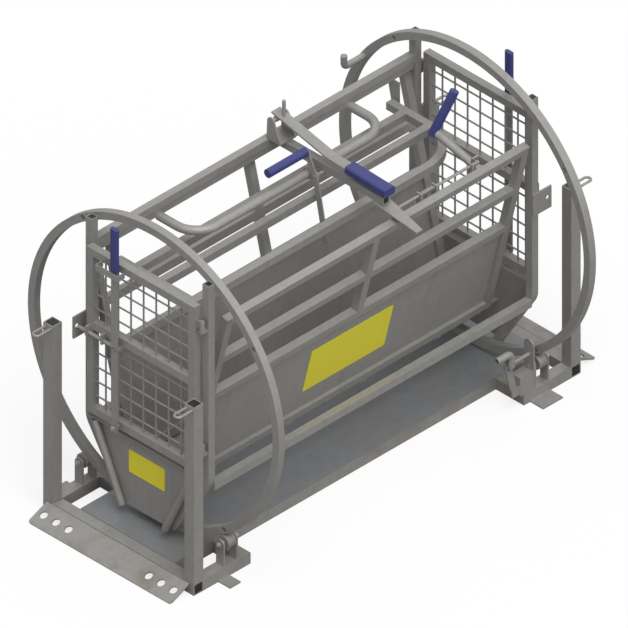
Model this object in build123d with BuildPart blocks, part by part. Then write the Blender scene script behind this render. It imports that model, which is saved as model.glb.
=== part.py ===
from build123d import *
import os
from math import atan2, cos, degrees, hypot, radians, sin, sqrt

os.makedirs("parts", exist_ok=True)

# Sheep turning crate: a cage between two hoops that turns over on four
# rollers of a welded base. X runs along the crate, -Y is the side that drops
# open, Z is up. The origin is on the floor under the middle of the base.

# Base of square tube
base_tube = 38.0
base_wall = 3.0
post_x = 762.5
post_y = 285.5
post_top = 656.0
side_rail_y = 172.0
brace_x = 571.0
floor_sheet = 3.0
mouth_depth = 60.0
eye_rod = 4.0
eye_reach = 55.0
eye_half_width = 11.0
eye_bend = 10.5
eye_z = 645.0

# Ramp plates
ramp_run = 77.5
ramp_toe_share = 0.9
ramp_rise = 33.0
ramp_plate = 5.0
ramp_width = 576.0
ramp_corner = 10.0
ramp_hole_radius = 12.5
ramp_hole_y = (162.0, 212.0, 262.0)

# Foot tabs that bolt to the ground
foot_plate = 5.0
near_foot_x = (-683.0, -640.0)
near_foot_reach = 48.0
far_foot_x = (577.0, 657.0)
far_foot_reach = 53.0

# Cage of smaller square tube
cage_tube = 25.0
cage_wall = 2.5
axis_z = 556.0
hoop_radius = 507.0
hoop_x = 628.5
corner_y = 236.0
corner_top = 995.0
corner_knee = 300.0
corner_foot_y = 98.0
corner_foot_z = 79.0
corner_bend = 60.0
stringer_z = 284.5
end_sheet = 3.0
end_sheet_top = 326.0
end_sheet_bottom = 77.0
end_sheet_top_half = 227.0
end_sheet_bottom_half = 100.0
end_lip = 20.0
guard_radius = 11.0
guard_wall = 2.5
guard_top = (197.0, 317.0)
guard_foot = (87.0, 75.0)

# Peg handle on the far hoop
peg_y = 406.7
peg_z = 837.0
peg_radius = 10.0
peg_reach = 80.0
peg_rise = 40.0
peg_bend = 15.0

# Rollers and their cheeks
roller_radius = 22.5
roller_length = 30.0
roller_gap = 0.3
axle_radius = 6.0
axle_end = 3.0
running_fit = 0.06
pin_overhang = 3.0
cheek_plate = 6.0
cheek_gap = 23.0
cheek_head = 15.5

# Lock that holds the cage from turning
lock_pin_radius = 6.0
lock_hole_radius = 8.0
lock_stops = 4
lock_box_x = (537.0, 595.0)
lock_box_top = 102.0
lock_plate = 5.0
lock_plate_width = 40.0
lock_plate_centre = 183.0
lock_rod_x = (490.0, 610.5)
lock_cross_x = 498.0
lock_pivot = (520.0, 60.0)
lock_lug_half = 14.0
lock_link_plate = 5.0
lock_link_width = 24.0
lock_link_gap = 1.0
lock_cross_radius = 4.0
lock_cross_hole = 8.0
lock_handle_radius = 11.0
lock_handle_wall = 2.5
lock_handle_top = 212.0
lock_handle_reach = 60.0
lock_handle_bend = 20.0
lock_tail = 40.0

# Sloping sides
side_foot_y = 99.0
side_foot_z = 216.0
side_lean = 13.82
side_top = 664.8
side_mid_rail = 492.0
side_sheet_rail = 339.0
gate_foot = 12.0
left_foot = -8.0
left_top = 670.0
side_half_length = 598.0
left_half_length = 628.5
sheet = 2.0
knuckle_x = (-500.0, -200.0, 100.0, 400.0)
lug_x = (-570.0, -350.0, -50.0, 250.0, 570.0)
hinge_rod = 6.0
knuckle_radius = 9.0
knuckle_length = 28.0
knuckle_web = 5.0
lug_plate = 6.0
lug_root = 20.0
lug_nose = 7.0
trough_sheet = 3.0
trough_top = 205.0
trough_y = (-85.0, 112.0)
top_rail = (236.0, 907.5)
lower_rail = (240.0, 882.5)
hanger_x = (-585.0, 560.0)
hanger_plate = 5.0
hanger_foot = 760.0
hanger_toe = 12.0

# End gates
gate_x = 680.0
gate_stile_y = 205.0
gate_z = (345.0, 920.0)
gate_mid = 653.0
mesh_pitch = 50.8
mesh_wire = 4.0
gate_hinge_y = 237.5
pin_radius = 5.0
gate_knuckle_radius = 8.0
hinge_heights = (430.0, 860.0)
pin_lug = 8.0
pin_play = 0.5

# Gate lever, bolt and catch
lever_y = 88.0
lever_x = 709.0
lever_plate = 5.0
lever_width = 25.0
lever_foot = 340.0
lever_pivot = 357.5
lever_shoulder = 906.0
lever_top = 1052.0
lever_slot = 7.0
grip_width = 30.0
grip_plate = 14.0
grip_chamfer = 4.0
grip_corners = 4
bolt_x = 700.0
bolt_z = 630.0
bolt_radius = 6.0
bolt_start = 74.0
bolt_tip = 243.0
bolt_cross = 4.0
bolt_guides = (143.0, 205.0)
bolt_guide_plate = 8.0
bolt_guide_half = 10.0
catch_y = (248.5, 253.5)
catch_x = (641.0, 715.0)
catch_z = (590.0, 665.0)
catch_clearance = 1.5
strap_centre = 109.5
strap_half = 45.0
strap_x = 718.5
strap_plate = 3.0
strap_z = (882.0, 902.0)

# Beam, bail and arm over the top
beam_x = 85.0
beam_z = 907.5
beam_end_y = -215.0
tongue_start_y = -185.0
tongue_tip = (-350.0, 862.0)
tongue_plate = 5.0
tongue_root = (-21.0, 31.0)
tongue_point = 12.0
web_x = 104.0
web_plate = 5.0
web_y = (-239.0, -205.0)
web_foot = 862.0
bail_radius = 14.0
bail_y = 77.0
bail_z = 870.0
bail_x = (-390.0, 380.0)
bail_bend = 80.0
arm_width = 35.0
arm_plate = 6.0
arm_pivot = (215.0, 985.0)
arm_barrel = 9.0
arm_points = ((232.0, 1001.0), (5.0, 951.0), (-68.0, 948.5))
arm_grip_length = 162.0
arm_grip_size = (42.0, 26.0)
screw_radius = 5.5
screw_y = 198.0
screw_z = (968.0, 1050.0)
bracket_x = (48.0, 112.0)
bracket_plate = 5.0
bracket_back = 40.0
bracket_front = 17.0
bracket_head = 14.0

# Ratchet lever by the bail
ratchet_x = 52.5
ratchet_pivot = (40.0, 880.0)
ratchet_points = ((75.0, 950.0), (36.0, 871.0), (-4.0, 669.0))
ratchet_width = 20.0
ratchet_plate = 5.0
ratchet_gap = 1.0
ratchet_eye = 12.0
ratchet_saddle = 18.0
ratchet_grip = 155.0
grip_radius = 14.0

# Side gate release on its top rail
release_x = 435.0
release_radius = 13.0
release_length = 175.0
release_crank = 19.0
release_crank_width = 22.0
release_grip_length = 143.0
release_grip_lean = 20.7
latch_radius = 4.5
latch_x = (114.0, 440.0)
latch_reach = 15.0
latch_cross = 3.0
latch_cross_hole = 6.5
crank_reach = 27.0
crank_plate = 5.0
spring_radius = 10.0
guide_x = (200.0, 262.0, 407.0)
guide_plate = 5.0

# Hold-down frame
hold_z = 800.0
hold_pivot_y = 218.0
hold_end_y = 223.0
hold_rails = (155.0, 57.0, -80.0)
hold_x = (-560.0, 535.0)
hold_bend = 150.0
hold_tube = 25.0

# Number plates
end_plate_size = (144.0, 77.0)
end_plate_centre = (-3.0, 233.5)
side_plate_size = (330.0, 165.0)
side_plate_slope = 187.0
name_plate = 1.5
plate_corner = 4.0


def bar(start, end, across, depth, facing=(0, 0, 1), mode=Mode.ADD):
    """Rectangular bar from start to end; depth is measured along facing."""
    run = Vector(*end) - Vector(*start)
    crosswise = Vector(*facing).cross(run)
    with BuildSketch(Plane(origin=start, x_dir=crosswise, z_dir=run)) as section:
        Rectangle(across, depth)
    extrude(section.sketch, amount=run.length, mode=mode)


def block(x_span, y_span, z_span, mode=Mode.ADD):
    """Block between two limits on each axis."""
    with BuildSketch(Plane.XY.offset(min(z_span))) as section:
        with Locations(((x_span[0] + x_span[1]) / 2, (y_span[0] + y_span[1]) / 2)):
            Rectangle(abs(x_span[1] - x_span[0]), abs(y_span[1] - y_span[0]))
    extrude(section.sketch, amount=abs(z_span[1] - z_span[0]), mode=mode)


def rod(start, end, radius, mode=Mode.ADD):
    """Round bar from start to end."""
    run = Vector(*end) - Vector(*start)
    with BuildSketch(Plane(origin=start, z_dir=run)) as section:
        Circle(radius)
    extrude(section.sketch, amount=run.length, mode=mode)


def bent_rod(points, radius, bend):
    """Round bar bent round each inner point."""
    with BuildLine() as route:
        FilletPolyline(*points, radius=bend)
    with BuildSketch(Plane(origin=route.line @ 0, z_dir=route.line % 0)) as section:
        Circle(radius)
    sweep(section.sketch, path=route.line)


def bent_bar(points, across, depth, facing, bend):
    """Rectangular bar bent round each inner point."""
    with BuildLine() as route:
        FilletPolyline(*points, radius=bend)
    run = route.line % 0
    crosswise = Vector(*facing).cross(run)
    with BuildSketch(Plane(origin=route.line @ 0, x_dir=crosswise, z_dir=run)) as section:
        Rectangle(across, depth)
    sweep(section.sketch, path=route.line)


def slope_point(distance, side):
    """Y and Z of a sloping side at a distance up its slope, on -1 or +1."""
    return (side * (side_foot_y + distance * sin(lean)), side_foot_z + distance * cos(lean))


def write(name, builder):
    """Label a finished piece and store it."""
    builder.part.label = name
    export_step(builder.part, f"parts/{name}.step")


ends = {"near": -1, "far": 1}
sides = {"right": -1, "left": 1}
half_tube = base_tube / 2
tube_bore = base_tube - 2 * base_wall
end_face = post_x + half_tube
stop_face = post_x - half_tube
outer_face = post_y + half_tube
rail_face = side_rail_y + half_tube
half_cage = cage_tube / 2
cage_bore = cage_tube - 2 * cage_wall
corner_x = hoop_x + cage_tube
panel_x = corner_x + half_cage
rail_half = hoop_x + half_cage
roller_orbit = hoop_radius + roller_gap + roller_radius
roller_z = axis_z - sqrt(roller_orbit**2 - post_y**2)
axle_half = cheek_gap + cheek_plate + axle_end
hoop_middle = hoop_radius - half_cage
lock_z = axis_z - sqrt(hoop_middle**2 - post_y**2)
lean = radians(side_lean)

# Welded base frame
with BuildPart() as base_frame:
    for way in (-1, 1):
        bar((way * post_x, -outer_face, half_tube), (way * post_x, outer_face, half_tube),
            base_tube, base_tube)
        for side in (-1, 1):
            bar((way * post_x, side * outer_face, half_tube),
                (way * post_x, side * (outer_face - mouth_depth), half_tube),
                tube_bore, tube_bore, mode=Mode.SUBTRACT)
            bar((way * stop_face, side * post_y, half_tube),
                (way * (brace_x - half_tube), side * post_y, half_tube), base_tube, base_tube)
            bar((way * brace_x, side * (post_y - half_tube), half_tube),
                (way * brace_x, side * rail_face, half_tube), base_tube, base_tube)
    for side in (-1, 1):
        bar((-stop_face, side * side_rail_y, half_tube), (stop_face, side * side_rail_y, half_tube),
            base_tube, base_tube)
        block(near_foot_x, (side * outer_face, side * (outer_face + near_foot_reach)), (0, foot_plate))
        block(far_foot_x, (side * outer_face, side * (outer_face + far_foot_reach)), (0, foot_plate))
write("base_frame", base_frame)

with BuildPart() as base_floor:
    block((-stop_face, stop_face), (-rail_face, rail_face), (base_tube, base_tube + floor_sheet))
write("base_floor", base_floor)

# Ramp plates with rounded outer corners
ramp_angle = atan2(ramp_rise, ramp_run)
ramp_length = hypot(ramp_run, ramp_rise)
for end, way in ends.items():
    with BuildPart() as ramp:
        with BuildSketch(Plane(origin=(way * end_face, 0, ramp_rise), x_dir=(0, way, 0),
                               z_dir=(way * sin(ramp_angle), 0, cos(ramp_angle)))):
            with Locations((0, -ramp_length / 2)):
                Rectangle(ramp_width, ramp_length)
            for y in ramp_hole_y:
                with Locations((y, -ramp_length / 2), (-y, -ramp_length / 2)):
                    Circle(ramp_hole_radius, mode=Mode.SUBTRACT)
        extrude(amount=ramp_plate)
        toe = end_face + ramp_toe_share * ramp_run
        toe_corners = [edge for edge in ramp.edges() if edge.length < ramp_plate + 1 and abs(edge.center().X) > toe]
        fillet(toe_corners, ramp_corner)
    write(f"{end}_ramp", ramp)

# Posts with a lifting eye each
for end, way in ends.items():
    for hand, side in sides.items():
        with BuildPart() as post:
            bar((way * post_x, side * post_y, base_tube), (way * post_x, side * post_y, post_top),
                base_tube, base_tube, (1, 0, 0))
            bar((way * post_x, side * post_y, post_top), (way * post_x, side * post_y, post_top - mouth_depth),
                tube_bore, tube_bore, (1, 0, 0), mode=Mode.SUBTRACT)
            eye_root = way * (end_face - base_wall / 2)
            eye_end = way * (end_face + eye_reach)
            bent_rod([(eye_root, side * post_y - eye_half_width, eye_z),
                      (eye_end, side * post_y - eye_half_width, eye_z),
                      (eye_end, side * post_y + eye_half_width, eye_z),
                      (eye_root, side * post_y + eye_half_width, eye_z)], eye_rod, eye_bend)
        write(f"{end}_{hand}_post", post)

# Roller cheeks and rollers
for end, way in ends.items():
    for hand, side in sides.items():
        with BuildPart() as cheeks:
            for face in (-1, 1):
                middle = way * hoop_x + face * (cheek_gap + cheek_plate / 2)
                with BuildSketch(Plane.YZ.offset(middle - cheek_plate / 2)):
                    with Locations((side * post_y, (base_tube + roller_z) / 2)):
                        Rectangle(2 * cheek_head, roller_z - base_tube)
                    with Locations((side * post_y, roller_z)):
                        Circle(cheek_head)
                        Circle(axle_radius + running_fit, mode=Mode.SUBTRACT)
                extrude(amount=cheek_plate)
        write(f"{end}_{hand}_cheeks", cheeks)

        with BuildPart() as roller:
            rod((way * hoop_x - roller_length / 2, side * post_y, roller_z),
                (way * hoop_x + roller_length / 2, side * post_y, roller_z), roller_radius)
            rod((way * hoop_x - axle_half, side * post_y, roller_z),
                (way * hoop_x + axle_half, side * post_y, roller_z), axle_radius)
        write(f"{end}_{hand}_roller", roller)

# Turning lock on the far right corner
lock_link_y = -post_y - lock_pin_radius - lock_link_gap - lock_link_plate / 2
lock_lug_y = lock_link_y - lock_link_plate - lock_link_gap
with BuildPart() as lock_box:
    block(lock_box_x, (-post_y - half_tube, -post_y + half_tube), (base_tube, lock_box_top))
    with BuildSketch(Plane.YZ.offset(lock_box_x[1] - lock_plate)):
        with Locations((-post_y, (lock_box_top + lock_plate_centre) / 2)):
            Rectangle(lock_plate_width, lock_plate_centre - lock_box_top)
        with Locations((-post_y, lock_plate_centre)):
            Circle(lock_plate_width / 2)
        with Locations((-post_y, lock_z)):
            Circle(lock_pin_radius + running_fit, mode=Mode.SUBTRACT)
    extrude(amount=lock_plate)
    block((lock_pivot[0] - lock_lug_half, lock_box_x[0] + lock_lug_half),
          (lock_lug_y - lock_link_plate / 2, lock_lug_y + lock_link_plate / 2),
          (lock_pivot[1] - lock_lug_half, lock_pivot[1] + lock_lug_half))
    rod((lock_pivot[0], lock_lug_y, lock_pivot[1]), (lock_pivot[0], lock_link_y + lock_link_plate, lock_pivot[1]),
        pin_radius)
write("lock_box", lock_box)

with BuildPart() as lock_plunger:
    rod((lock_rod_x[0], -post_y, lock_z), (lock_rod_x[1], -post_y, lock_z), lock_pin_radius)
    rod((lock_cross_x, -post_y, lock_z), (lock_cross_x, lock_link_y - lock_cross_radius, lock_z), lock_cross_radius)
write("lock_plunger", lock_plunger)

with BuildPart() as lock_lever:
    lever_head = (lock_cross_x, lock_z)
    bar((lock_pivot[0], lock_link_y, lock_pivot[1]), (lever_head[0], lock_link_y, lever_head[1]),
        lock_link_width, lock_link_plate, (0, 1, 0))
    bar((lever_head[0], lock_link_y, lever_head[1]), (lever_head[0], lock_link_y, lever_head[1] + lock_tail),
        lock_link_width, lock_link_plate, (0, 1, 0))
    with BuildSketch(Plane.XZ.offset(-lock_link_y - lock_link_plate / 2)):
        with Locations(lock_pivot, lever_head):
            Circle(lock_link_width / 2)
    extrude(amount=lock_link_plate)
    handle_y = lock_link_y - lock_link_plate / 2 - lock_handle_radius + 1
    handle_end = lever_head[0] - lock_handle_reach
    bent_rod([(lever_head[0], handle_y, lever_head[1] + lock_link_width / 2),
              (lever_head[0], handle_y, lock_handle_top), (handle_end, handle_y, lock_handle_top)],
             lock_handle_radius, lock_handle_bend)
    rod((handle_end, handle_y, lock_handle_top), (handle_end + lock_tail / 2, handle_y, lock_handle_top),
        lock_handle_radius - lock_handle_wall, mode=Mode.SUBTRACT)
    for centre, radius in ((lock_pivot, pin_radius + running_fit), (lever_head, lock_cross_hole)):
        rod((centre[0], lock_link_y + lock_link_plate, centre[1]), (centre[0], lock_link_y - pin_overhang, centre[1]),
            radius, mode=Mode.SUBTRACT)
write("lock_lever", lock_lever)

# Hoops with four lock holes each, and the peg of the far one
lock_angle = degrees(atan2(lock_z - axis_z, -post_y))
hoop_face = hoop_x - half_cage
for end, way in ends.items():
    with BuildPart() as hoop:
        with BuildSketch(Plane.YZ.offset(way * hoop_x - half_cage)):
            with Locations((0, axis_z)):
                Circle(hoop_radius)
                Circle(hoop_radius - cage_tube, mode=Mode.SUBTRACT)
                with PolarLocations(hoop_middle, lock_stops, start_angle=lock_angle):
                    Circle(lock_hole_radius, mode=Mode.SUBTRACT)
        extrude(amount=cage_tube)
        if way > 0:
            bent_rod([(hoop_face + cage_wall, peg_y, peg_z), (hoop_face - peg_reach, peg_y, peg_z),
                      (hoop_face - peg_reach, peg_y, peg_z + peg_rise)], peg_radius, peg_bend)
    write(f"{end}_hoop", hoop)

# Corner posts, two with hinge pins and two with catches for the gate bolts
for end, way in ends.items():
    for hand, side in sides.items():
        with BuildPart() as corner:
            bent_bar([(way * corner_x, side * corner_y, corner_top),
                      (way * corner_x, side * corner_y, corner_knee),
                      (way * corner_x, side * corner_foot_y, corner_foot_z)],
                     cage_tube, cage_tube, (1, 0, 0), corner_bend)
            bar((way * corner_x, side * corner_y, corner_top),
                (way * corner_x, side * corner_y, corner_top - mouth_depth),
                cage_bore, cage_bore, (1, 0, 0), mode=Mode.SUBTRACT)
            if side == way:
                for z in hinge_heights:
                    lug_top = z - knuckle_length / 2 - pin_play
                    block((way * (panel_x - 1), way * (gate_x + gate_knuckle_radius)),
                          (side * (gate_hinge_y - gate_knuckle_radius), side * (gate_hinge_y + gate_knuckle_radius)),
                          (lug_top - pin_lug, lug_top))
                    rod((way * gate_x, side * gate_hinge_y, lug_top - pin_lug),
                        (way * gate_x, side * gate_hinge_y, z + knuckle_length / 2 + pin_radius), pin_radius)
            else:
                block((way * catch_x[0], way * catch_x[1]), (side * catch_y[0], side * catch_y[1]), catch_z)
                rod((way * bolt_x, side * (catch_y[0] - 1), bolt_z), (way * bolt_x, side * (catch_y[1] + 1), bolt_z),
                    bolt_radius + catch_clearance, mode=Mode.SUBTRACT)
        write(f"{end}_{hand}_corner_post", corner)

# Tapered sheets below the gates
for end, way in ends.items():
    with BuildPart() as end_panel:
        with BuildSketch(Plane.YZ.offset(panel_x if way > 0 else -panel_x - end_sheet)):
            with BuildLine():
                Polyline((-end_sheet_top_half, end_sheet_top), (end_sheet_top_half, end_sheet_top),
                         (end_sheet_bottom_half, end_sheet_bottom),
                         (-end_sheet_bottom_half, end_sheet_bottom), close=True)
            make_face()
        extrude(amount=end_sheet)
        block((way * panel_x, way * (panel_x + end_lip)), (-end_sheet_top_half, end_sheet_top_half),
              (end_sheet_top - 1, end_sheet_top + end_sheet - 1))
    write(f"{end}_panel", end_panel)

    # Open guard tubes in front of the sheet's sloping edges
    with BuildPart() as guard:
        guard_x = way * (panel_x + end_sheet + guard_radius)
        for side in (-1, 1):
            start = Vector(guard_x, side * guard_top[0], guard_top[1])
            finish = Vector(guard_x, side * guard_foot[0], guard_foot[1])
            rod(start, finish, guard_radius)
            bottom = start + (finish - start).normalized() * mouth_depth
            rod(start, bottom, guard_radius - guard_wall, mode=Mode.SUBTRACT)
    write(f"{end}_guard_tubes", guard)

with BuildPart() as stringers:
    for side in (-1, 1):
        bar((-rail_half, side * corner_y, stringer_z), (rail_half, side * corner_y, stringer_z),
            cage_tube, cage_tube)
write("stringers", stringers)


def side_frame(side, half_length, foot, top, rails):
    """Uprights, rails and sheet of one sloping side."""
    outward = (0, side * cos(lean), -sin(lean))
    for x, start in ((-half_length, foot), (0, side_sheet_rail), (half_length, foot)):
        bar((x, *slope_point(start, side)), (x, *slope_point(top, side)), cage_tube, cage_tube, outward)
    for distance in rails:
        bar((-half_length, *slope_point(distance, side)), (half_length, *slope_point(distance, side)),
            cage_tube, cage_tube, outward)
    bar((0, *slope_point(foot + half_cage, side)), (0, *slope_point(side_sheet_rail, side)),
        2 * half_length, sheet, outward)


# Right side, hinged along its foot
into_cage = Vector(0, cos(lean), sin(lean))
up_slope = Vector(0, -sin(lean), cos(lean))
rail_inside = Vector(release_x, *slope_point(side_top - half_cage, -1)) + into_cage * half_cage
latch_axis = rail_inside + into_cage * latch_reach + up_slope * release_crank
latch_y = latch_axis.Y
latch_z = latch_axis.Z
with BuildPart() as side_gate:
    side_frame(-1, side_half_length, gate_foot, side_top,
               (gate_foot + half_cage, side_sheet_rail, side_mid_rail, side_top - half_cage))
    for x in knuckle_x:
        rod((x - knuckle_length / 2, -side_foot_y, side_foot_z), (x + knuckle_length / 2, -side_foot_y, side_foot_z),
            knuckle_radius)
        bar((x, -side_foot_y, side_foot_z), (x, *slope_point(gate_foot + 1, -1)), knuckle_length, knuckle_web,
            into_cage)
    rod((-left_half_length, -side_foot_y, side_foot_z), (left_half_length, -side_foot_y, side_foot_z),
        hinge_rod + running_fit, mode=Mode.SUBTRACT)
    for x in guide_x:
        block((x - guide_plate / 2, x + guide_plate / 2), (rail_inside.Y - 2, latch_y + spring_radius),
              (rail_inside.Z - half_cage, latch_z + spring_radius))
    rod((guide_x[0] - guide_plate, latch_y, latch_z), (guide_x[-1] + guide_plate, latch_y, latch_z),
        latch_radius + running_fit, mode=Mode.SUBTRACT)
write("side_gate", side_gate)

with BuildPart() as latch_plunger:
    rod((latch_x[0], latch_y, latch_z), (latch_x[1], latch_y, latch_z), latch_radius)
    cross_end = latch_axis + into_cage * (crank_reach - latch_reach + crank_plate)
    rod((release_x, latch_y, latch_z), cross_end, latch_cross)
write("latch_plunger", latch_plunger)

with BuildPart() as release_lever:
    shaft_end = rail_inside + into_cage * release_length
    shaft_start = rail_inside + into_cage * 1.0
    rod(shaft_start, shaft_end, release_radius)
    crank_root = rail_inside + into_cage * crank_reach
    crank_top = crank_root + up_slope * (release_crank + release_crank_width / 2)
    bar(crank_root, crank_top, release_crank_width, crank_plate, into_cage)
    crank_hole = crank_root + up_slope * release_crank
    rod((crank_hole - into_cage * crank_plate), (crank_hole + into_cage * crank_plate),
        latch_cross_hole, mode=Mode.SUBTRACT)
write("release_lever", release_lever)

with BuildPart() as release_grip:
    grip_lean = radians(release_grip_lean)
    grip_way = Vector(sin(grip_lean), 0, 0) + up_slope * cos(grip_lean)
    grip_start = shaft_end + into_cage * grip_radius
    rod((grip_start - grip_way * grip_radius), (grip_start + grip_way * release_grip_length),
        grip_radius)
write("release_grip", release_grip)

# Left side, fixed, with the pair of top rails and the hangers
with BuildPart() as left_side:
    side_frame(1, left_half_length, left_foot, left_top, (left_foot + half_cage, side_sheet_rail, side_mid_rail))
write("left_side", left_side)

with BuildPart() as left_rails:
    bar((-rail_half, *top_rail), (rail_half, *top_rail), cage_tube, cage_tube)
    bar((-rail_half, *lower_rail), (rail_half, *lower_rail), cage_tube, cage_tube)
write("left_top_rails", left_rails)

with BuildPart() as hangers:
    hanger_top = lower_rail[1] - half_cage
    for x in hanger_x:
        with BuildSketch(Plane.YZ.offset(x - hanger_plate / 2)):
            with BuildLine():
                Polyline((hold_pivot_y - hanger_toe, hanger_top), (lower_rail[0] + half_cage, hanger_top),
                         (hold_pivot_y + hanger_toe, hanger_foot), (hold_pivot_y - hanger_toe, hanger_foot), close=True)
            make_face()
            with Locations((hold_pivot_y, hold_z)):
                Circle(pin_radius + running_fit, mode=Mode.SUBTRACT)
        extrude(amount=hanger_plate)
write("hangers", hangers)

# Trough floor with the rod that carries the side gate
with BuildPart() as trough_floor:
    block((-panel_x, panel_x), trough_y, (trough_top - trough_sheet, trough_top))
    for x in lug_x:
        with BuildSketch(Plane.YZ.offset(x - lug_plate / 2)):
            with BuildLine():
                Polyline((trough_y[0] + lug_root, trough_top), (trough_y[0], trough_top - trough_sheet),
                         (-side_foot_y - lug_nose, side_foot_z - lug_nose), (-side_foot_y, side_foot_z + lug_nose), close=True)
            make_face()
            with Locations((-side_foot_y, side_foot_z)):
                Circle(knuckle_radius)
        extrude(amount=lug_plate)
    rod((lug_x[0] - lug_plate, -side_foot_y, side_foot_z), (lug_x[-1] + lug_plate, -side_foot_y, side_foot_z),
        hinge_rod)
write("trough_floor", trough_floor)

# End gates with welded mesh
gate_inner = gate_stile_y - half_cage
gate_outer = gate_stile_y + half_cage
gate_face = gate_x + half_cage
gate_height = gate_z[1] - gate_z[0]
mesh_columns = int(2 * gate_inner // mesh_pitch)
mesh_rows = int((gate_height - 2 * cage_tube) // mesh_pitch)
for end, way in ends.items():
    with BuildPart() as gate:
        with BuildSketch(Plane.YZ.offset(way * gate_x - half_cage)):
            with Locations((0, (gate_z[0] + gate_z[1]) / 2)):
                Rectangle(2 * gate_outer, gate_height)
                Rectangle(2 * gate_inner, gate_height - 2 * cage_tube, mode=Mode.SUBTRACT)
            with Locations((0, gate_mid)):
                Rectangle(2 * gate_inner, cage_tube)
        extrude(amount=cage_tube)
        with BuildSketch(Plane.YZ.offset(way * gate_x - mesh_wire / 2)):
            with Locations((0, (gate_z[0] + gate_z[1]) / 2)):
                with GridLocations(mesh_pitch, 1, mesh_columns, 1):
                    Rectangle(mesh_wire, gate_height - cage_tube)
                with GridLocations(1, mesh_pitch, 1, mesh_rows):
                    Rectangle(2 * gate_inner + cage_tube, mesh_wire)
        extrude(amount=mesh_wire)
        for z in hinge_heights:
            low = z - knuckle_length / 2
            high = z + knuckle_length / 2
            block((way * (gate_x - knuckle_web / 2), way * (gate_x + knuckle_web / 2)),
                  (way * (gate_outer - 1), way * gate_hinge_y), (low, high))
            rod((way * gate_x, way * gate_hinge_y, low), (way * gate_x, way * gate_hinge_y, high),
                gate_knuckle_radius)
            rod((way * gate_x, way * gate_hinge_y, low - 1), (way * gate_x, way * gate_hinge_y, high + 1),
                pin_radius + running_fit, mode=Mode.SUBTRACT)
        rod((way * (gate_face - 1), -way * lever_y, lever_pivot), (way * (lever_x + lever_plate), -way * lever_y, lever_pivot),
            pin_radius)
        strap_near = -way * (strap_centre - strap_half)
        strap_far = -way * (strap_centre + strap_half)
        block((way * strap_x, way * (strap_x + strap_plate)), (strap_near, strap_far), strap_z)
        block((way * (gate_face - 1), way * strap_x), (strap_near, strap_near - way * strap_plate), strap_z)
        block((way * (gate_face - 1), way * strap_x), (strap_far, strap_far + way * strap_plate), strap_z)
        for y in bolt_guides:
            block((way * (gate_face - 1), way * (bolt_x + bolt_radius + pin_overhang)),
                  (-way * (y - bolt_guide_plate / 2), -way * (y + bolt_guide_plate / 2)),
                  (bolt_z - bolt_guide_half, gate_mid))
            rod((way * bolt_x, -way * (y - bolt_guide_plate), bolt_z), (way * bolt_x, -way * (y + bolt_guide_plate), bolt_z),
                bolt_radius + running_fit, mode=Mode.SUBTRACT)
    write(f"{end}_gate", gate)

    with BuildPart() as lever:
        block((way * (lever_x - lever_plate / 2), way * (lever_x + lever_plate / 2)),
              (-way * (lever_y - lever_width / 2), -way * (lever_y + lever_width / 2)), (lever_foot, lever_shoulder))
        for z, radius in ((lever_pivot, pin_radius + running_fit), (bolt_z, lever_slot)):
            rod((way * (lever_x - lever_plate), -way * lever_y, z), (way * (lever_x + lever_plate), -way * lever_y, z),
                radius, mode=Mode.SUBTRACT)
    write(f"{end}_gate_lever", lever)

    with BuildPart() as grip:
        block((way * (lever_x - grip_plate / 2), way * (lever_x + grip_plate / 2)),
              (-way * (lever_y - grip_width / 2), -way * (lever_y + grip_width / 2)), (lever_shoulder, lever_top))
        chamfer(grip.edges().filter_by(Axis.Z), grip_chamfer)
    write(f"{end}_lever_grip", grip)

    with BuildPart() as bolt:
        rod((way * bolt_x, -way * bolt_start, bolt_z), (way * bolt_x, -way * bolt_tip, bolt_z), bolt_radius)
        rod((way * bolt_x, -way * lever_y, bolt_z), (way * (lever_x + lever_plate), -way * lever_y, bolt_z),
            bolt_cross)
    write(f"{end}_bolt", bolt)

# Beam across the top with its tongue and web
with BuildPart() as cross_beam:
    bar((beam_x, top_rail[0] - half_cage, beam_z), (beam_x, beam_end_y, beam_z), cage_tube, cage_tube)
    bar((beam_x, beam_end_y, beam_z), (beam_x, beam_end_y + mouth_depth, beam_z), cage_bore, cage_bore,
        mode=Mode.SUBTRACT)
    root = Vector(beam_x, tongue_start_y, beam_z - half_cage - tongue_plate)
    fall = Vector(beam_x, *tongue_tip) - root
    with BuildSketch(Plane(origin=root, x_dir=(1, 0, 0), z_dir=(0, fall.Z, -fall.Y))):
        with BuildLine():
            Polyline((tongue_root[0], 0), (tongue_root[1], 0), (tongue_point, -fall.length),
                     (-tongue_point, -fall.length), close=True)
        make_face()
    extrude(amount=tongue_plate)
    with BuildSketch(Plane.YZ.offset(web_x)):
        with BuildLine():
            drop = fall.Z / fall.Y
            Polyline((web_y[0], web_foot), (web_y[1], web_foot),
                     (web_y[1], root.Z + 2 + (web_y[1] - root.Y) * drop),
                     (web_y[0], root.Z + 2 + (web_y[0] - root.Y) * drop), close=True)
        make_face()
        with Locations((latch_y, latch_z)):
            Circle(latch_radius + catch_clearance, mode=Mode.SUBTRACT)
    extrude(amount=web_plate)
write("cross_beam", cross_beam)

with BuildPart() as bail:
    bail_end = lower_rail[0] - half_cage
    bent_rod([(bail_x[0], bail_end, bail_z), (bail_x[0], bail_y, bail_z), (bail_x[1], bail_y, bail_z),
              (bail_x[1], bail_end, bail_z)], bail_radius, bail_bend)
write("bail", bail)

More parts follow.
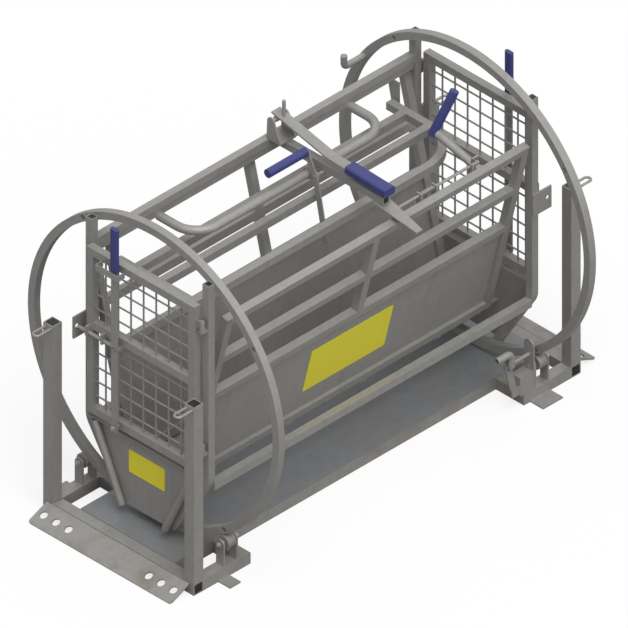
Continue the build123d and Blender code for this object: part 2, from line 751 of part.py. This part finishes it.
# Lift arm in its bracket
with BuildPart() as arm_bracket:
    rail_top = top_rail[1] + half_cage
    block(bracket_x, (arm_pivot[0] - bracket_back, arm_pivot[0] + bracket_front),
          (rail_top, rail_top + bracket_plate))
    for x in (bracket_x[0], bracket_x[1] - bracket_plate):
        with BuildSketch(Plane.YZ.offset(x)):
            with BuildLine():
                Polyline((arm_pivot[0] - bracket_back, rail_top), (arm_pivot[0] + bracket_front, rail_top),
                         (arm_pivot[0] + bracket_head, arm_pivot[1]), (arm_pivot[0] - bracket_head, arm_pivot[1]),
                         close=True)
            make_face()
            with Locations(arm_pivot):
                Circle(bracket_head)
        extrude(amount=bracket_plate)
    rod((bracket_x[0], *arm_pivot), (bracket_x[1], *arm_pivot), pin_radius)
write("arm_bracket", arm_bracket)

with BuildPart() as lift_arm:
    for start, end in zip(arm_points[:-1], arm_points[1:]):
        bar((beam_x, *start), (beam_x, *end), arm_width, arm_plate)
    rod((beam_x - arm_width / 2, *arm_pivot), (beam_x + arm_width / 2, *arm_pivot), arm_barrel)
    bar((beam_x, *arm_pivot), (beam_x, arm_pivot[0], arm_points[0][1] - arm_plate), arm_width, arm_plate, (0, 1, 0))
    rod((beam_x, screw_y, screw_z[0]), (beam_x, screw_y, screw_z[1]), screw_radius)
    rod((bracket_x[0], *arm_pivot), (bracket_x[1], *arm_pivot), pin_radius + running_fit, mode=Mode.SUBTRACT)
write("lift_arm", lift_arm)

with BuildPart() as arm_grip:
    grip_start = Vector(beam_x, *arm_points[-1])
    grip_way = (grip_start - Vector(beam_x, *arm_points[-2])).normalized()
    bar(grip_start, grip_start + grip_way * arm_grip_length, *arm_grip_size)
    chamfer(arm_grip.edges().sort_by(SortBy.LENGTH)[-grip_corners:], grip_chamfer)
write("lift_arm_grip", arm_grip)

# Ratchet lever and the plate that carries it on the bail
with BuildPart() as ratchet_bracket:
    with BuildSketch(Plane.YZ.offset(ratchet_x + ratchet_plate / 2 + ratchet_gap)):
        with Locations(ratchet_pivot):
            Circle(ratchet_eye)
        with Locations((bail_y, bail_z)):
            Circle(ratchet_saddle)
        make_hull()
        with Locations((bail_y, bail_z)):
            Circle(bail_radius + running_fit, mode=Mode.SUBTRACT)
    extrude(amount=ratchet_plate)
    rod((ratchet_x - ratchet_plate, *ratchet_pivot), (ratchet_x + ratchet_plate, *ratchet_pivot), pin_radius)
write("ratchet_bracket", ratchet_bracket)

with BuildPart() as ratchet_lever:
    for start, end in zip(ratchet_points[:-1], ratchet_points[1:]):
        bar((ratchet_x, *start), (ratchet_x, *end), ratchet_width, ratchet_plate, (1, 0, 0))
    with BuildSketch(Plane.YZ.offset(ratchet_x - ratchet_plate / 2)):
        with Locations(*ratchet_points[:2]):
            Circle(ratchet_width / 2)
    extrude(amount=ratchet_plate)
    rod((ratchet_x - ratchet_plate, *ratchet_pivot), (ratchet_x + ratchet_plate, *ratchet_pivot),
        pin_radius + running_fit, mode=Mode.SUBTRACT)
write("ratchet_lever", ratchet_lever)

with BuildPart() as ratchet_handle:
    grip_face = ratchet_x - ratchet_plate / 2
    rod((grip_face, *ratchet_points[0]), (grip_face - ratchet_grip, *ratchet_points[0]), grip_radius)
write("ratchet_grip", ratchet_handle)

# Hold-down frame on its two hinge pins
with BuildPart() as hold_down:
    near_x, far_x = hold_x
    bent_bar([(near_x, hold_rails[2], hold_z), (far_x, hold_rails[2], hold_z), (far_x, hold_end_y, hold_z)],
             hold_tube, hold_tube, (0, 0, 1), hold_bend)
    for y in hold_rails[:2]:
        bar((near_x, y, hold_z), (far_x, y, hold_z), hold_tube, hold_tube)
    bar((near_x, hold_rails[2] - half_cage, hold_z), (near_x, hold_end_y, hold_z), hold_tube, hold_tube)
    for x, face in zip(hold_x, hanger_x):
        outward = 1 if face > x else -1
        rod((x, hold_pivot_y, hold_z), (face + outward * hanger_plate, hold_pivot_y, hold_z), pin_radius)
write("hold_down_frame", hold_down)

# Yellow plates
with BuildPart() as end_plate:
    with BuildSketch(Plane.YZ.offset(-panel_x - end_sheet - name_plate)):
        with Locations(end_plate_centre):
            RectangleRounded(*end_plate_size, plate_corner)
    extrude(amount=name_plate)
write("end_name_plate", end_plate)

with BuildPart() as side_plate:
    plate_origin = Vector(0, *slope_point(side_plate_slope, -1)) - into_cage * (sheet / 2)
    with BuildSketch(Plane(origin=plate_origin, x_dir=(1, 0, 0), z_dir=into_cage * -1)):
        RectangleRounded(*side_plate_size, plate_corner)
    extrude(amount=name_plate)
write("side_name_plate", side_plate)
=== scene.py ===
import math
import random

import bmesh
import bpy
from mathutils import Matrix, Vector


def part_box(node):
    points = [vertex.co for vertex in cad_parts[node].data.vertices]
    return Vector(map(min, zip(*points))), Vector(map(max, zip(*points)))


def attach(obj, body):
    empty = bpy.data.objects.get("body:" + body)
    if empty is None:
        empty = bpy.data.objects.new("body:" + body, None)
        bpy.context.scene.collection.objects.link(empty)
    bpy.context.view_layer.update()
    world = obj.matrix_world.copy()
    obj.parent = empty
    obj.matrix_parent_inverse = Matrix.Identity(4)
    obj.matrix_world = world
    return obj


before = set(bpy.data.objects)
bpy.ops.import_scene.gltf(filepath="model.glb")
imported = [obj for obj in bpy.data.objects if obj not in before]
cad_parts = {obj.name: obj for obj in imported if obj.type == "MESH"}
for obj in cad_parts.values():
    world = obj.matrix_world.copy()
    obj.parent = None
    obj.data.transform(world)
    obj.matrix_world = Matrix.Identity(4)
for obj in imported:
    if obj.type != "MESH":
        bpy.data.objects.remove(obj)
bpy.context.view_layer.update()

ENDS = {"near": -1, "far": 1}
SIDES = {"right": -1, "left": 1}
LEAN = math.radians(13.82)
INTO_CAGE = Vector((0, math.cos(LEAN), math.sin(LEAN)))
UP_SLOPE = Vector((0, -math.sin(LEAN), math.cos(LEAN)))


# Shader maths

class Socket:
    """An output of a shader node, with the arithmetic that the finishes use."""

    def __init__(self, finish, output):
        self.finish = finish
        self.output = output

    def _math(self, operation, first, second=None):
        values = [first] if second is None else [first, second]
        return self.finish.node("ShaderNodeMath", {"operation": operation}, *values)

    def __add__(self, other):
        return self._math("ADD", self, other)

    __radd__ = __add__

    def __sub__(self, other):
        return self._math("SUBTRACT", self, other)

    def __rsub__(self, other):
        return self._math("SUBTRACT", other, self)

    def __mul__(self, other):
        return self._math("MULTIPLY", self, other)

    __rmul__ = __mul__

    def __truediv__(self, other):
        return self._math("DIVIDE", self, other)

    def __pow__(self, other):
        return self._math("POWER", self, other)

    def over(self, limit):
        return self._math("GREATER_THAN", self, limit)

    def under(self, limit):
        return self._math("LESS_THAN", self, limit)

    def largest(self, other):
        return self._math("MAXIMUM", self, other)

    def size(self):
        return self._math("ABSOLUTE", self)

    def ramp(self, low, high):
        """0 below low, 1 above high, smooth between."""
        return self.finish.node("ShaderNodeMapRange", {"interpolation_type": "SMOOTHSTEP", "clamp": True},
                                self, low, high, 0.0, 1.0)


class Finish:
    """One material, built node by node."""

    def __init__(self, name):
        self.material = bpy.data.materials.new(name)
        self.material.use_nodes = True
        self.tree = self.material.node_tree
        self.tree.nodes.clear()

    def node(self, kind, settings=None, *values, out=0, **named):
        """Adds a node: its settings first, then what its sockets hold or are linked to."""
        made = self.tree.nodes.new(kind)
        for key, value in (settings or {}).items():
            if key == "stops":
                ramp = made.color_ramp
                for index, (place, colour) in enumerate(value):
                    stop = ramp.elements[index] if index < 2 else ramp.elements.new(place)
                    stop.position = place
                    stop.color = colour
            else:
                setattr(made, key, value)
        for index, value in enumerate(values):
            self.feed(made.inputs[index], value)
        for key, value in named.items():
            self.feed(made.inputs[key.replace("_", " ")], value)
        return Socket(self, made.outputs[out]) if len(made.outputs) else None

    def feed(self, place, value):
        if value is None:
            return
        if isinstance(value, Socket):
            self.tree.links.new(value.output, place)
        else:
            place.default_value = value

    def where(self):
        return self.node("ShaderNodeTexCoord", out=3)

    def noise(self, place, scale, detail=3.0, rough=0.5):
        return self.node("ShaderNodeTexNoise", {}, Vector=place, Scale=scale, Detail=detail, Roughness=rough)

    def cells(self, place, scale, out=0):
        return self.node("ShaderNodeTexVoronoi", {"feature": "F1"}, Vector=place, Scale=scale, out=out)

    def stretch(self, place, scale):
        return self.node("ShaderNodeMapping", {"vector_type": "POINT"}, Vector=place, Scale=scale)

    def blend(self, amount, first, second, how="MIX"):
        """Mixes two colours."""
        made = self.tree.nodes.new("ShaderNodeMix")
        made.data_type = "RGBA"
        made.blend_type = how
        self.feed(made.inputs[0], amount)
        self.feed(made.inputs[6], first)
        self.feed(made.inputs[7], second)
        return Socket(self, made.outputs[2])

    def split(self, vector):
        made = self.tree.nodes.new("ShaderNodeSeparateXYZ")
        self.feed(made.inputs[0], vector)
        return [Socket(self, output) for output in made.outputs]

    def surface(self, colour, roughness, metallic=0.0, height=None, lift=0.0005, **fixed):
        normal = None
        if height is not None:
            normal = self.node("ShaderNodeBump", {}, Strength=0.6, Distance=lift, Height=height)
        shader = self.node("ShaderNodeBsdfPrincipled", {}, Base_Color=colour, Roughness=roughness,
                           Metallic=metallic, Normal=normal, **fixed)
        self.node("ShaderNodeOutputMaterial", {}, shader)
        return self.material


def galvanised(name, tone, tint=(1.0, 1.0, 1.0), grime=0.5):
    """Zinc-coated steel: faint crystals, cloudy greys, dull streaks and dirt low down."""
    finish = Finish(name)
    place = finish.where()
    crystal = finish.split(finish.cells(place, 95.0, out=1))[0]
    cloud = finish.noise(place, 7.0, 4.0, 0.6)
    fine = finish.noise(place, 160.0, 2.0, 0.5)
    streak = finish.noise(finish.stretch(place, (28.0, 28.0, 2.5)), 1.0, 3.0, 0.6)
    height = finish.split(place)[2]
    low = 1.0 - height.ramp(0.02, 0.32)
    dirt = low * cloud.ramp(0.42, 0.7) * grime
    dull = streak.ramp(0.52, 0.74) * 0.35
    light = [channel * tone * 1.12 for channel in tint] + [1.0]
    dark = [channel * tone * 0.86 for channel in tint] + [1.0]
    base = finish.blend(crystal * 0.35 + cloud * 0.65, dark, light)
    base = finish.blend(dull, base, [channel * tone * 0.78 for channel in tint] + [1.0])
    base = finish.blend(dirt, base, (0.19, 0.155, 0.115, 1.0))
    rough = 0.46 + 0.12 * crystal + 0.14 * dull + 0.2 * dirt
    metal = 0.30 - 0.25 * dirt
    relief = fine * 0.4 + crystal * 0.15
    return finish.surface(base, rough, metal, relief, 0.00025)


def grip_plastic(name):
    """Dipped blue vinyl, a little worn and scuffed where the hand goes."""
    finish = Finish(name)
    place = finish.where()
    cloud = finish.noise(place, 22.0, 3.0, 0.6)
    scuff = finish.noise(finish.stretch(place, (90.0, 18.0, 90.0)), 1.0, 4.0, 0.7).ramp(0.6, 0.78)
    pebble = finish.cells(place, 420.0)
    base = finish.blend(cloud, (0.030, 0.036, 0.150, 1.0), (0.052, 0.060, 0.235, 1.0))
    base = finish.blend(scuff * 0.45, base, (0.14, 0.15, 0.33, 1.0))
    return finish.surface(base, 0.42 + 0.2 * scuff + 0.08 * cloud, 0.0, pebble * 0.7 + cloud * 0.3, 0.0003)


def sign_paint(name):
    """Yellow sign sheet with a little fading and fine scratches."""
    finish = Finish(name)
    place = finish.where()
    cloud = finish.noise(place, 12.0, 3.0, 0.6)
    scratch = finish.noise(finish.stretch(place, (14.0, 260.0, 260.0)), 1.0, 3.0, 0.7).ramp(0.66, 0.8)
    grain = finish.noise(place, 320.0, 2.0, 0.5)
    base = finish.blend(cloud, (0.800, 0.700, 0.018, 1.0), (0.880, 0.800, 0.035, 1.0))
    base = finish.blend(scratch * 0.3, base, (0.62, 0.55, 0.12, 1.0))
    return finish.surface(base, 0.34 + 0.25 * scratch + 0.06 * cloud, 0.0, grain, 0.0001)


def dark_line(name):
    """Printed border of the signs."""
    finish = Finish(name)
    place = finish.where()
    cloud = finish.noise(place, 60.0, 3.0, 0.6)
    base = finish.blend(cloud, (0.020, 0.022, 0.05, 1.0), (0.045, 0.045, 0.09, 1.0))
    return finish.surface(base, 0.4 + 0.1 * cloud, 0.0, cloud, 0.0001)


def mouth_shade_finish(name):
    """Black with dust on it: painted shade for the dark inside of open tube ends."""
    finish = Finish(name)
    place = finish.where()
    dust = finish.noise(place, 35.0, 4.0, 0.65).ramp(0.5, 0.8)
    grain = finish.noise(place, 380.0, 2.0, 0.5)
    base = finish.blend(dust * 0.35, (0.010, 0.010, 0.009, 1.0), (0.06, 0.055, 0.045, 1.0))
    return finish.surface(base, 0.5 + 0.25 * dust, 0.0, grain, 0.0002)


def zinc(name, tone):
    """Bright zinc-plated bolts, nuts, rings and springs."""
    finish = Finish(name)
    place = finish.where()
    cloud = finish.noise(place, 70.0, 3.0, 0.6)
    stain = finish.noise(place, 26.0, 4.0, 0.7).ramp(0.6, 0.8)
    base = finish.blend(cloud, (tone * 0.9, tone * 0.9, tone * 0.88, 1.0), (tone * 1.1, tone * 1.1, tone * 1.06, 1.0))
    base = finish.blend(stain * 0.4, base, (0.25, 0.19, 0.12, 1.0))
    return finish.surface(base, 0.34 + 0.25 * stain + 0.08 * cloud, 0.65 - 0.4 * stain, cloud, 0.0001)


def weld_metal(name):
    """Weld beads, a little darker and rougher than the tubes beside them."""
    finish = Finish(name)
    place = finish.where()
    cloud = finish.noise(place, 90.0, 3.0, 0.6)
    base = finish.blend(cloud, (0.15, 0.145, 0.13, 1.0), (0.27, 0.26, 0.24, 1.0))
    return finish.surface(base, 0.5 + 0.15 * cloud, 0.35, cloud, 0.0004)


steel = galvanised("galvanised_tube", 0.335, (1.0, 0.975, 0.93))
sheet_steel = galvanised("galvanised_sheet", 0.315, (1.0, 0.98, 0.945), 0.7)
floor_steel = galvanised("trodden_floor_sheet", 0.27, (0.93, 0.97, 1.02), 0.25)
blue_vinyl = grip_plastic("blue_vinyl")
yellow_sign = sign_paint("yellow_sign")
sign_line = dark_line("sign_border")
# Painted shade: black for the dark inside of open tube ends
black_mouth_shade = mouth_shade_finish("black_mouth_shade")
bright_zinc = zinc("bright_zinc", 0.44)
weld = weld_metal("weld_bead")

SHEETS = {"near_panel", "far_panel", "trough_floor", "near_ramp", "far_ramp"}
GRIPS = {"near_lever_grip", "far_lever_grip", "release_grip", "lift_arm_grip", "ratchet_grip"}
SIGNS = {"end_name_plate", "side_name_plate"}
FLOORS = {"base_floor"}


def finish_for(node):
    if node in GRIPS:
        return blue_vinyl
    if node in SIGNS:
        return yellow_sign
    if node in FLOORS:
        return floor_steel
    if node in SHEETS:
        return sheet_steel
    return steel


for node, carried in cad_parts.items():
    carried.data.materials.clear()
    carried.data.materials.append(finish_for(node))


# Small pieces

def piece(name, mesh_maker, body, material, bevel=0.0, smooth=True):
    """Makes a mesh piece from a bmesh routine and lets it ride on a body."""
    mesh = bpy.data.meshes.new(name)
    work = bmesh.new()
    mesh_maker(work)
    bmesh.ops.recalc_face_normals(work, faces=work.faces)
    work.to_mesh(mesh)
    work.free()
    made = bpy.data.objects.new(name, mesh)
    bpy.context.scene.collection.objects.link(made)
    made.data.materials.append(material)
    if bevel:
        rounded = made.modifiers.new("edge", "BEVEL")
        rounded.width = bevel
        rounded.segments = 2
        rounded.limit_method = "ANGLE"
    if smooth:
        for face in mesh.polygons:
            face.use_smooth = True
        if bevel:
            crisp = made.modifiers.new("crisp", "WEIGHTED_NORMAL")
            crisp.keep_sharp = True
    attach(made, body)
    return made


def axes_to(direction):
    """Turns local Z to lie along a direction."""
    return Vector(direction).to_track_quat("Z", "Y").to_matrix().to_4x4()


def add_prism(work, centre, direction, sides, radius, length, turn=0.0):
    """Regular prism, centred."""
    place = Matrix.Translation(centre) @ axes_to(direction) @ Matrix.Rotation(turn, 4, "Z")
    bmesh.ops.create_cone(work, cap_ends=True, segments=sides, radius1=radius, radius2=radius, depth=length,
                          matrix=place)


def add_dome(work, centre, direction, radius, height):
    """Low dome for a bolt's end."""
    place = Matrix.Translation(centre) @ axes_to(direction) @ Matrix.Diagonal((1, 1, height / radius, 1))
    bmesh.ops.create_uvsphere(work, u_segments=20, v_segments=8, radius=radius, matrix=place)


def add_block(work, centre, size, turn=None):
    place = Matrix.Translation(centre) @ (turn or Matrix()) @ Matrix.Diagonal((*size, 1))
    bmesh.ops.create_cube(work, size=1.0, matrix=place)


def add_pipe(work, points, radius, sides=10, closed=False):
    """Round bar through a row of points."""
    rings = []
    count = len(points)
    for index, point in enumerate(points):
        before = points[index - 1] if (index or closed) else point
        after = points[(index + 1) % count] if (index + 1 < count or closed) else point
        way = (Vector(after) - Vector(before)).normalized()
        side = way.cross(Vector((0.13, 0.27, 0.95))).normalized()
        up = side.cross(way)
        rings.append([work.verts.new(Vector(point) + radius * (side * math.cos(a) + up * math.sin(a)))
                      for a in (2 * math.pi * k / sides for k in range(sides))])
    for index in range(count if closed else count - 1):
        here, there = rings[index], rings[(index + 1) % count]
        for k in range(sides):
            work.faces.new((here[k], here[(k + 1) % sides], there[(k + 1) % sides], there[k]))
    if not closed:
        work.faces.new(rings[0][::-1])
        work.faces.new(rings[-1])


def hex_nut(name, centre, direction, across, body, stud=0.35):
    """Hexagon nut on a washer, with the bolt's end standing out."""
    centre = Vector(centre)
    way = Vector(direction).normalized()
    thick = across * 0.42

    def build(work):
        add_prism(work, centre + way * across * 0.05, way, 28, across * 0.78, across * 0.1)
        add_prism(work, centre + way * (across * 0.1 + thick / 2), way, 6, across * 0.577, thick, 0.3)
        add_prism(work, centre + way * (across * 0.1 + thick + across * stud / 2), way, 20, across * 0.30,
                  across * stud)
    return piece(name, build, body, bright_zinc, bevel=across * 0.05)


def shaded_mouth_cap(name, centre, direction, across, body, turn=0.0):
    """Black insert with a low crowned cap, sunk just below the end of a square tube: painted shade for the dark
    inside of the open tube.
    """
    centre = Vector(centre)
    way = Vector(direction).normalized()

    def build(work):
        lie = Matrix.Translation(centre) @ axes_to(way) @ Matrix.Rotation(turn, 4, "Z")
        half = across / 2
        loops = []
        for out, depth in ((0.985, -0.012), (0.985, -0.0022), (0.93, -0.0010), (0.62, -0.0004), (0.2, -0.0002)):
            loops.append([work.verts.new(lie @ Vector((x * half * out, y * half * out, depth)))
                          for x, y in ((-1, -1), (1, -1), (1, 1), (-1, 1))])
        for here, there in zip(loops, loops[1:]):
            for k in range(4):
                work.faces.new((here[k], here[(k + 1) % 4], there[(k + 1) % 4], there[k]))
        work.faces.new(loops[0][::-1])
        work.faces.new(loops[-1])
    return piece(name, build, body, black_mouth_shade, bevel=0.0006)


def weld_run(name, start, finish, body, radius=0.0022, seed=1):
    """Lumpy weld bead from one point to another."""
    start, finish = Vector(start), Vector(finish)
    length = (finish - start).length
    rng = random.Random(seed)

    def build(work):
        way = (finish - start).normalized()
        count = max(3, int(length / 0.0032))
        rings = []
        side = way.cross(Vector((0.13, 0.27, 0.95))).normalized()
        up = side.cross(way)
        for k in range(count + 1):
            point = start.lerp(finish, k / count)
            swell = radius * (1.0 + (0.16 if k % 2 else -0.1) + rng.uniform(-0.08, 0.08))
            if k in (0, count):
                swell *= 0.55
            rings.append([work.verts.new(point + swell * (side * math.cos(a) + up * math.sin(a)))
                          for a in (2 * math.pi * j / 7 for j in range(7))])
        for here, there in zip(rings, rings[1:]):
            for j in range(7):
                work.faces.new((here[j], here[(j + 1) % 7], there[(j + 1) % 7], there[j]))
        work.faces.new(rings[0][::-1])
        work.faces.new(rings[-1])
    return piece(name, build, body, weld)


POST_X, POST_Y, POST_TOP = 0.7625, 0.2855, 0.656
CORNER_X, CORNER_Y, CORNER_TOP = 0.6535, 0.236, 0.995
AXLE_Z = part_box("near_right_roller")[0][2] + 0.0225

for end, way in ENDS.items():
    for hand, side in SIDES.items():
        # Black caps in the open tube ends: painted shade for their dark insides
        shaded_mouth_cap(f"{end}_{hand}_post_mouth_shade", (way * POST_X, side * POST_Y, POST_TOP), (0, 0, 1), 0.032, "base")
        shaded_mouth_cap(f"{end}_{hand}_corner_mouth_shade", (way * CORNER_X, side * CORNER_Y, CORNER_TOP), (0, 0, 1), 0.020,
                  "cage")
        shaded_mouth_cap(f"{end}_{hand}_base_mouth_shade", (way * POST_X, side * 0.3045, 0.019), (0, side, 0), 0.032, "base")
        for face in (-1, 1):
            hex_nut(f"{end}_{hand}_axle_nut_{'in' if face < 0 else 'out'}",
                    (way * 0.6285 + face * 0.032, side * POST_Y, AXLE_Z), (face, 0, 0), 0.013,
                    f"{end}_{hand}_roller", 0.2)
        # Weld round the foot of the post
        for number, (dx, dy) in enumerate(((1, 0), (-1, 0), (0, 1), (0, -1))):
            half = 0.0168
            middle = Vector((way * POST_X + dx * 0.0195, side * POST_Y + dy * 0.0195, 0.0385))
            run = Vector((dy, dx, 0)) * half
            if (dx and dx == way) or dy == side:
                continue
            weld_run(f"{end}_{hand}_post_weld_{number}", middle - run, middle + run, "base", seed=number + 7)
# Black cap in the open beam end: painted shade for its dark inside
shaded_mouth_cap("beam_mouth_shade", (0.085, -0.215, 0.9075), (0, -1, 0), 0.020, "cage")



def bolt_head(name, centre, direction, across, body):
    """Hexagon head with a washer under it and a chamfered crown."""
    centre = Vector(centre)
    way = Vector(direction).normalized()

    def build(work):
        add_prism(work, centre + way * across * 0.05, way, 28, across * 0.78, across * 0.1)
        add_prism(work, centre + way * across * 0.40, way, 6, across * 0.577, across * 0.6, 0.2)
        add_dome(work, centre + way * across * 0.69, way, across * 0.45, across * 0.08)
    return piece(name, build, body, bright_zinc, bevel=across * 0.05)


for end, way in ENDS.items():
    hex_nut(f"{end}_lever_nut", (way * 0.716, -way * 0.088, 0.3575), (way, 0, 0), 0.012, f"{end}_gate", 0.15)


# Spring on the latch plunger, between its two guides
plunger_low, plunger_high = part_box("latch_plunger")
latch_y = plunger_low[1] + 0.0045
latch_z = plunger_low[2] + 0.0045


def build_spring(work):
    turns, start, stop = 11, 0.2035, 0.2585
    points = []
    for k in range(turns * 14 + 1):
        angle = 2 * math.pi * k / 14
        x = start + (stop - start) * k / (turns * 14)
        points.append((x, latch_y + 0.0075 * math.cos(angle), latch_z + 0.0075 * math.sin(angle)))
    add_pipe(work, points, 0.0011, 6)


piece("latch_spring", build_spring, "side_gate", bright_zinc)


# Stage

def studio():
    """Pale floor, white surround and soft light from above and from the open side."""
    mesh = bpy.data.meshes.new("studio_floor")
    mesh.from_pydata([(-30, -30, 0), (30, -30, 0), (30, 30, 0), (-30, 30, 0)], [], [(0, 1, 2, 3)])
    ground = bpy.data.objects.new("studio_floor", mesh)
    bpy.context.scene.collection.objects.link(ground)
    ground.location.z = -0.0005
    paint = Finish("studio_floor")
    seen = paint.node("ShaderNodeLightPath", {}, out=0)
    tone = paint.blend(seen, (0.32, 0.32, 0.32, 1.0), (1.0, 1.0, 1.0, 1.0))
    matt = paint.node("ShaderNodeBsdfDiffuse", {}, Color=tone)
    glow = paint.node("ShaderNodeEmission", {}, Color=(1.0, 1.0, 1.0, 1.0), Strength=1.0)
    paint.node("ShaderNodeOutputMaterial", {}, paint.node("ShaderNodeMixShader", {}, seen * 0.8, matt, glow))
    ground.data.materials.append(paint.material)

    world = bpy.data.worlds.new("studio_world")
    bpy.context.scene.world = world
    world.use_nodes = True
    tree = world.node_tree
    tree.nodes.clear()
    paths = tree.nodes.new("ShaderNodeLightPath")
    seen_directly = tree.nodes.new("ShaderNodeMath")
    seen_directly.operation = "MAXIMUM"
    tree.links.new(paths.outputs["Is Camera Ray"], seen_directly.inputs[0])
    tree.links.new(paths.outputs["Is Transmission Ray"], seen_directly.inputs[1])
    either = tree.nodes.new("ShaderNodeMath")
    either.operation = "MAXIMUM"
    tree.links.new(seen_directly.outputs[0], either.inputs[0])
    tree.links.new(paths.outputs["Is Glossy Ray"], either.inputs[1])
    strength = tree.nodes.new("ShaderNodeMapRange")
    tree.links.new(either.outputs[0], strength.inputs[0])
    strength.inputs[3].default_value = 0.42
    strength.inputs[4].default_value = 1.0
    surround = tree.nodes.new("ShaderNodeBackground")
    surround.inputs[0].default_value = (1.0, 1.0, 1.0, 1.0)
    tree.links.new(strength.outputs[0], surround.inputs[1])
    output = tree.nodes.new("ShaderNodeOutputWorld")
    tree.links.new(surround.outputs[0], output.inputs[0])

    def sun(name, towards, strength, spread):
        lamp = bpy.data.lights.new(name, "SUN")
        lamp.energy = strength
        lamp.angle = math.radians(spread)
        placed = bpy.data.objects.new(name, lamp)
        placed.rotation_euler = Vector(towards).to_track_quat("-Z", "Y").to_euler()
        bpy.context.scene.collection.objects.link(placed)

    sun("overhead", (0.22, 0.42, -1.0), 1.9, 40)
    sun("open_side", (0.25, 1.0, -0.35), 0.55, 60)


def photo_camera():
    """Parallel view down the cube's diagonal, framed as the photo is."""
    lens = bpy.data.cameras.new("photo_camera")
    lens.type = "ORTHO"
    lens.ortho_scale = 628 / 350
    lens.clip_end = 60
    eye = bpy.data.objects.new("photo_camera", lens)
    look = Vector((1, 1, -1)).normalized()
    eye.location = Vector((0.0042, -0.0042, 0.4444)) - look * 8.0
    eye.rotation_euler = look.to_track_quat("-Z", "Y").to_euler()
    bpy.context.scene.collection.objects.link(eye)
    bpy.context.scene.camera = eye


studio()
photo_camera()
bpy.context.scene.view_settings.view_transform = "Standard"
